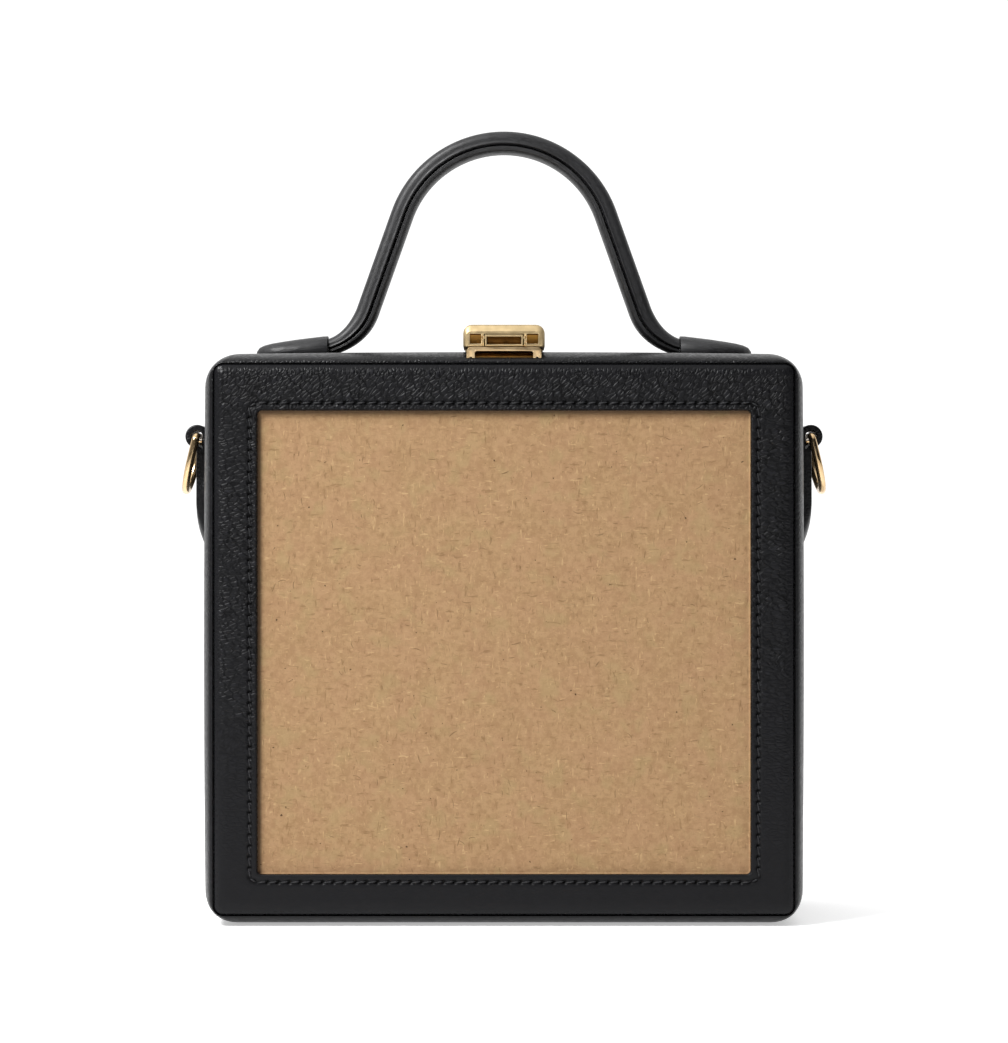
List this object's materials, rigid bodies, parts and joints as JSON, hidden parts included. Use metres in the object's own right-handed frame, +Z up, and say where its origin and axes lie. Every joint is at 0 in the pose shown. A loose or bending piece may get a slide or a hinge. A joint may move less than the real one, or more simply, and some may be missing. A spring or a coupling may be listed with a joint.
{
  "type": "box bag",
  "caption": "Rigid square box bag in black leather with a framed window sheet, rolled top handle, metal lever clasp, side loops with D-rings and a bottom-hinged lid.",
  "frame": {"origin": "on the resting plane, below the middle of the bag", "axes": "+Z up, +X to the right as the framed face is seen, the lid's framed face looks to -Y"},
  "size_m": [0.2118, 0.076, 0.2567],
  "materials": {
    "black_leather": "fine-grained, low sheen",
    "tan_fibre_sheet": "dry, matt, finely fibrous",
    "pale_gold_metal": "polished plating"
  },
  "bodies": {
    "case": {"body_shell": "black_leather", "back_panel": "black_leather", "hinge_leaf_body": "pale_gold_metal", "handle_roll": "black_leather", "handle_strip": "black_leather", "handle_mount_left": "black_leather", "handle_mount_right": "black_leather", "ring_tab_left": "black_leather", "ring_tab_right": "black_leather", "clasp_housing": "pale_gold_metal"},
    "lid": {"lid_shell": "black_leather", "front_frame": "black_leather", "front_sheet": "tan_fibre_sheet", "hinge_leaf_lid": "pale_gold_metal", "clasp_keeper": "pale_gold_metal"},
    "lever": {"clasp_lever": "pale_gold_metal"},
    "ring_left": {"d_ring_left": "pale_gold_metal"},
    "ring_right": {"d_ring_right": "pale_gold_metal"}
  },
  "joints": [
    {"name": "lid_hinge", "type": "hinge", "parent": "case", "child": "lid", "pos_m": [0, -0.02, 0.0016], "axis": [1, 0, 0], "range_deg": [0, 85]},
    {"name": "lever_pivot", "type": "hinge", "parent": "case", "child": "lever", "pos_m": [0, -0.0347, 0.1874], "axis": [-1, 0, 0], "range_deg": [0, 70]},
    {"name": "ring_left_swing", "type": "hinge", "parent": "case", "child": "ring_left", "pos_m": [-0.10039, 0, 0.1566], "axis": [0, 1, 0], "range_deg": [-7, 160]},
    {"name": "ring_right_swing", "type": "hinge", "parent": "case", "child": "ring_right", "pos_m": [0.10039, 0, 0.1566], "axis": [0, -1, 0], "range_deg": [-7, 160]}
  ]
}
